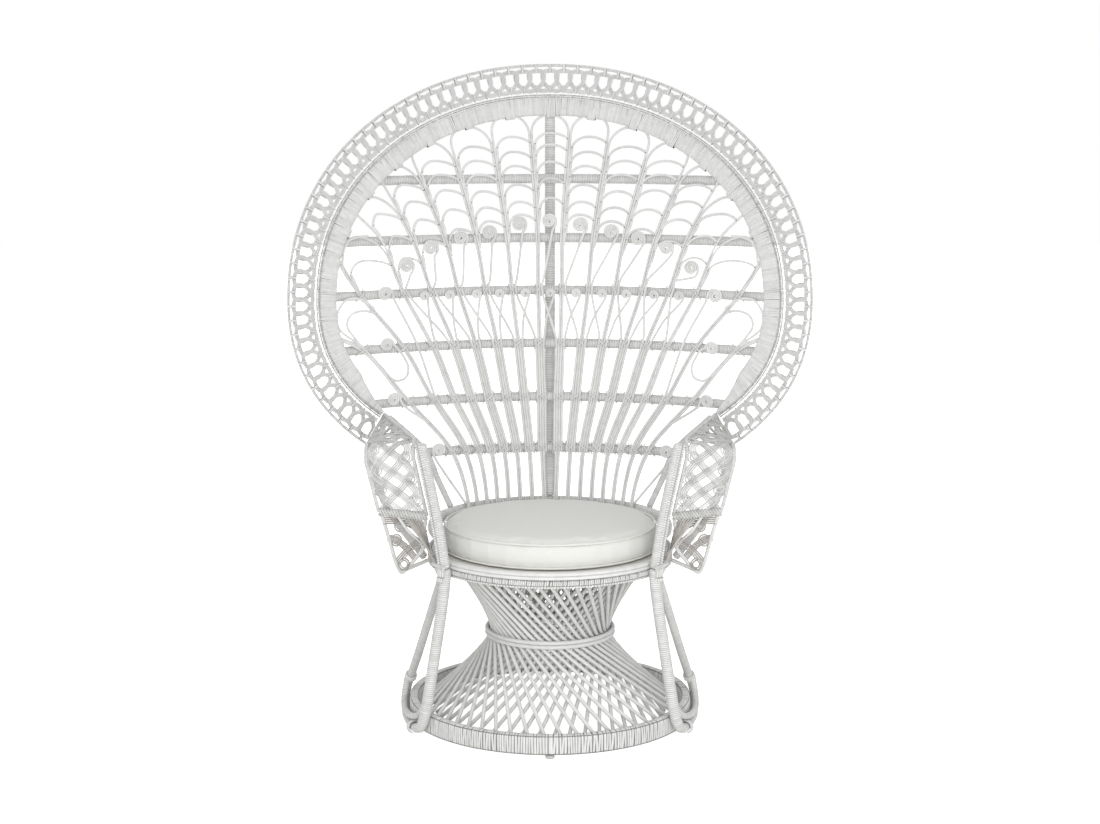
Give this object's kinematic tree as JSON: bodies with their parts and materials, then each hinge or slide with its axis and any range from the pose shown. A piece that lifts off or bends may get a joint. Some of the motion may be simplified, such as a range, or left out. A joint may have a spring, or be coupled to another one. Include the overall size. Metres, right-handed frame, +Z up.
{
  "type": "peacock chair",
  "caption": "Rattan armchair with a tall bowed fan back bordered by loops, scrolled arms, a round cushioned seat and a waisted cane pedestal.",
  "frame": {"origin": "centre of the bounding box's underside, where the floor glides stand", "axes": "+Z up, +Y towards the back, +X to the right seen from the front"},
  "size_m": [1.218, 0.768, 1.502],
  "materials": {
    "painted_rattan": "satin white paint over round rattan",
    "painted_peel": "satin white paint over flat rattan peel",
    "painted_wood": "matte white paint over wood",
    "cushion_cloth": "plain woven off-white cloth",
    "glide_rubber": "matte pale rubber"
  },
  "bodies": {
    "chair": {"foot_glide_1": "glide_rubber", "foot_glide_2": "glide_rubber", "foot_glide_3": "glide_rubber", "foot_glide_4": "glide_rubber", "base_hoop": "painted_rattan", "pedestal_outer_canes": "painted_rattan", "pedestal_inner_canes": "painted_rattan", "waist_hoop_upper": "painted_peel", "waist_hoop_lower": "painted_peel", "pedestal_head_hoop": "painted_rattan", "seat_slat_front": "painted_wood", "seat_slat_middle": "painted_wood", "seat_slat_rear": "painted_wood", "seat_hoop": "painted_rattan", "seat_rim_hoop": "painted_rattan", "seat_deck": "painted_wood", "fan_outer_rim": "painted_peel", "fan_inner_rim": "painted_peel", "fan_main_band": "painted_rattan", "fan_loop_border": "painted_rattan", "back_rail": "painted_rattan", "cross_rod_1": "painted_rattan", "cross_rod_2": "painted_rattan", "cross_rod_3": "painted_rattan", "cross_rod_4": "painted_rattan", "cross_rod_5": "painted_rattan", "cross_rod_6": "painted_rattan", "back_post": "painted_rattan", "fan_stake_left_1": "painted_rattan", "fan_stake_left_2": "painted_rattan", "fan_stake_left_3": "painted_rattan", "fan_stake_left_4": "painted_rattan", "fan_stake_left_5": "painted_rattan", "fan_stake_left_6": "painted_rattan", "fan_stake_left_7": "painted_rattan", "fan_stake_left_8": "painted_rattan", "fan_stake_right_1": "painted_rattan", "fan_stake_right_2": "painted_rattan", "fan_stake_right_3": "painted_rattan", "fan_stake_right_4": "painted_rattan", "fan_stake_right_5": "painted_rattan", "fan_stake_right_6": "painted_rattan", "fan_stake_right_7": "painted_rattan", "fan_stake_right_8": "painted_rattan", "leg_loop_left": "painted_rattan", "arm_post_left": "painted_rattan", "fan_strut_left": "painted_rattan", "arm_frame_left": "painted_rattan", "arm_weave_left": "painted_peel", "arm_bracket_left": "painted_peel", "arm_brace_left": "painted_rattan", "leg_loop_right": "painted_rattan", "arm_post_right": "painted_rattan", "fan_strut_right": "painted_rattan", "arm_frame_right": "painted_rattan", "arm_weave_right": "painted_peel", "arm_bracket_right": "painted_peel", "arm_brace_right": "painted_rattan"},
    "cushion": {"seat_cushion": "cushion_cloth"}
  },
  "joints": [
    {"name": "cushion_lift", "type": "slide", "parent": "chair", "child": "cushion", "axis": [0, 0, 1], "range_m": [0, 0.25]}
  ]
}
